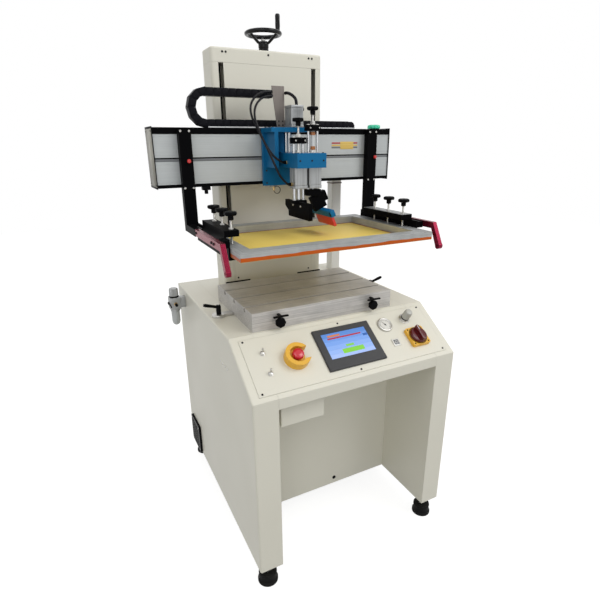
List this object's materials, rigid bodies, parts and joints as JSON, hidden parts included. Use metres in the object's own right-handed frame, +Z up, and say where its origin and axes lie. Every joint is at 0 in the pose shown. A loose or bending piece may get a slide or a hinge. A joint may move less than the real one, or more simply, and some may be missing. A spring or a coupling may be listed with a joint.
{
  "type": "screen printing machine",
  "caption": "Flat-bed screen printing machine: cabinet with sloping controls, slotted table, column with a lifting beam, squeegee carriage and clamped screen frame.",
  "frame": {"origin": "on the floor under the middle of the cabinet, half way between its front and back", "axes": "+X to the operator's right, +Y away from the operator to the back, +Z up"},
  "size_m": [0.878, 0.81, 1.7263],
  "materials": {
    "cream": "textured powder coat, cream white",
    "panel_cream": "smooth powder coat, cream white",
    "black_rubber": "matt moulded rubber",
    "zinc": "zinc plated",
    "black_plastic": "fine spark-eroded texture",
    "bezel_grey": "satin dark grey",
    "yellow_plastic": "satin yellow",
    "red_plastic": "glossy red",
    "dark_red_plastic": "glossy dark red",
    "gauge_metal": "polished rim",
    "table_aluminium": "brushed along the slots, worn",
    "machined_aluminium": "machined and anodised clear",
    "beam_silver": "satin anodised panel",
    "black_metal": "black anodised, satin",
    "rod_steel": "ground and hard chromed",
    "blue_metal": "blue anodised, satin",
    "red_metal": "dark red anodised, glossy",
    "mesh_yellow": "dyed yellow polyester mesh, coated",
    "frame_aluminium": "raw aluminium tube, scuffed",
    "chain_black": "moulded nylon",
    "lamp_green": "clear green lens, lit",
    "blade_red": "cast polyurethane, satin",
    "bracket_steel": "dull bare sheet",
    "filter_grey": "die cast and clear plastic",
    "hose_black": "smooth polyurethane tube"
  },
  "bodies": {
    "cabinet": {"leg_housing_left": "cream", "leg_housing_right": "cream", "rear_housing": "cream", "console_housing": "cream", "rear_cover": "cream", "levelling_feet": "black_rubber", "foot_studs": "zinc", "control_panel": "panel_cream", "touch_screen": "bezel_grey", "emergency_stop_collar": "yellow_plastic", "main_switch_plate": "yellow_plastic", "pressure_gauge": "gauge_metal", "panel_fittings": "zinc", "tslot_table": "table_aluminium", "table_flanges": "machined_aluminium", "column_side_covers": "cream", "column_centre_cover": "cream", "column_cap": "cream", "guide_rods": "rod_steel", "cable_duct": "cream", "fan_cover": "black_plastic", "air_filter": "filter_grey"},
    "handwheel": {"handwheel": "black_plastic"},
    "head": {"beam_housing": "black_metal", "beam_panels": "beam_silver", "beam_ends": "cream", "head_slide": "machined_aluminium", "hanger_arms": "black_metal", "screen_side_rails": "frame_aluminium", "screen_cross_rails": "frame_aluminium", "screen_mesh": "mesh_yellow", "clamp_rails": "black_metal", "clamp_screws": "black_plastic", "pull_handles": "red_metal", "drag_chain": "chain_black", "start_buttons": "red_plastic", "signal_lamp": "lamp_green"},
    "carriage": {"carriage_frame": "blue_metal", "tool_block": "blue_metal", "carriage_cylinders": "machined_aluminium", "chain_bracket": "bracket_steel", "upper_loop_hose": "hose_black", "lower_loop_hose": "hose_black", "drive_hose": "hose_black"},
    "flood_tool": {"flood_crosshead": "black_plastic", "flood_rods": "rod_steel", "flood_bar": "black_metal"},
    "squeegee_tool": {"squeegee_crosshead": "black_plastic", "squeegee_rods": "rod_steel", "squeegee_holder": "black_metal", "squeegee_clamp": "blue_metal", "squeegee_blade": "blade_red"},
    "emergency_stop": {"emergency_stop_button": "red_plastic"},
    "main_switch": {"main_switch_knob": "dark_red_plastic"},
    "pressure_knob": {"regulator_knob": "filter_grey"},
    "left_lever": {"lock_lever_left": "black_plastic"},
    "right_lever": {"lock_lever_right": "black_plastic"},
    "left_table_knob": {"table_knob_left": "black_plastic"},
    "right_table_knob": {"table_knob_right": "black_plastic"},
    "air_valve": {"air_valve_lever": "black_plastic"}
  },
  "joints": [
    {"name": "handwheel_turn", "type": "hinge", "parent": "cabinet", "child": "handwheel", "pos_m": [0, 0.278, 1.604], "axis": [0, 0, 1], "continuous": true},
    {"name": "head_lift", "type": "slide", "parent": "cabinet", "child": "head", "axis": [0, 0, 1], "range_m": [-0.14, 0.03]},
    {"name": "carriage_traverse", "type": "slide", "parent": "head", "child": "carriage", "axis": [1, 0, 0], "range_m": [-0.21, 0.16]},
    {"name": "flood_lift", "type": "slide", "parent": "carriage", "child": "flood_tool", "axis": [0, 0, 1], "range_m": [-0.015, 0]},
    {"name": "squeegee_lift", "type": "slide", "parent": "carriage", "child": "squeegee_tool", "axis": [0, 0, 1], "range_m": [-0.022, 0]},
    {"name": "emergency_stop_press", "type": "slide", "parent": "cabinet", "child": "emergency_stop", "axis": [0, 0.559, -0.8292], "range_m": [0, 0.005]},
    {"name": "main_switch_turn", "type": "hinge", "parent": "cabinet", "child": "main_switch", "pos_m": [0.244, -0.34483, 0.72445], "axis": [0, 0.559, -0.8292], "range_deg": [0, 90]},
    {"name": "pressure_knob_turn", "type": "hinge", "parent": "cabinet", "child": "pressure_knob", "pos_m": [0.241, -0.27958, 0.76361], "axis": [0, -0.559, 0.8292], "continuous": true},
    {"name": "left_lever_turn", "type": "hinge", "parent": "cabinet", "child": "left_lever", "pos_m": [-0.317, -0.04, 0.796], "axis": [0, 0, 1], "range_deg": [-60, 60]},
    {"name": "right_lever_turn", "type": "hinge", "parent": "cabinet", "child": "right_lever", "pos_m": [0.269, -0.04, 0.796], "axis": [0, 0, 1], "range_deg": [-60, 60]},
    {"name": "left_table_knob_turn", "type": "hinge", "parent": "cabinet", "child": "left_table_knob", "pos_m": [-0.189, -0.218, 0.811], "axis": [0, -1, 0], "continuous": true},
    {"name": "right_table_knob_turn", "type": "hinge", "parent": "cabinet", "child": "right_table_knob", "pos_m": [0.141, -0.218, 0.811], "axis": [0, -1, 0], "continuous": true},
    {"name": "air_valve_turn", "type": "hinge", "parent": "cabinet", "child": "air_valve", "pos_m": [-0.41, 0.295, 0.743], "axis": [1, 0, 0], "range_deg": [0, 90]}
  ]
}
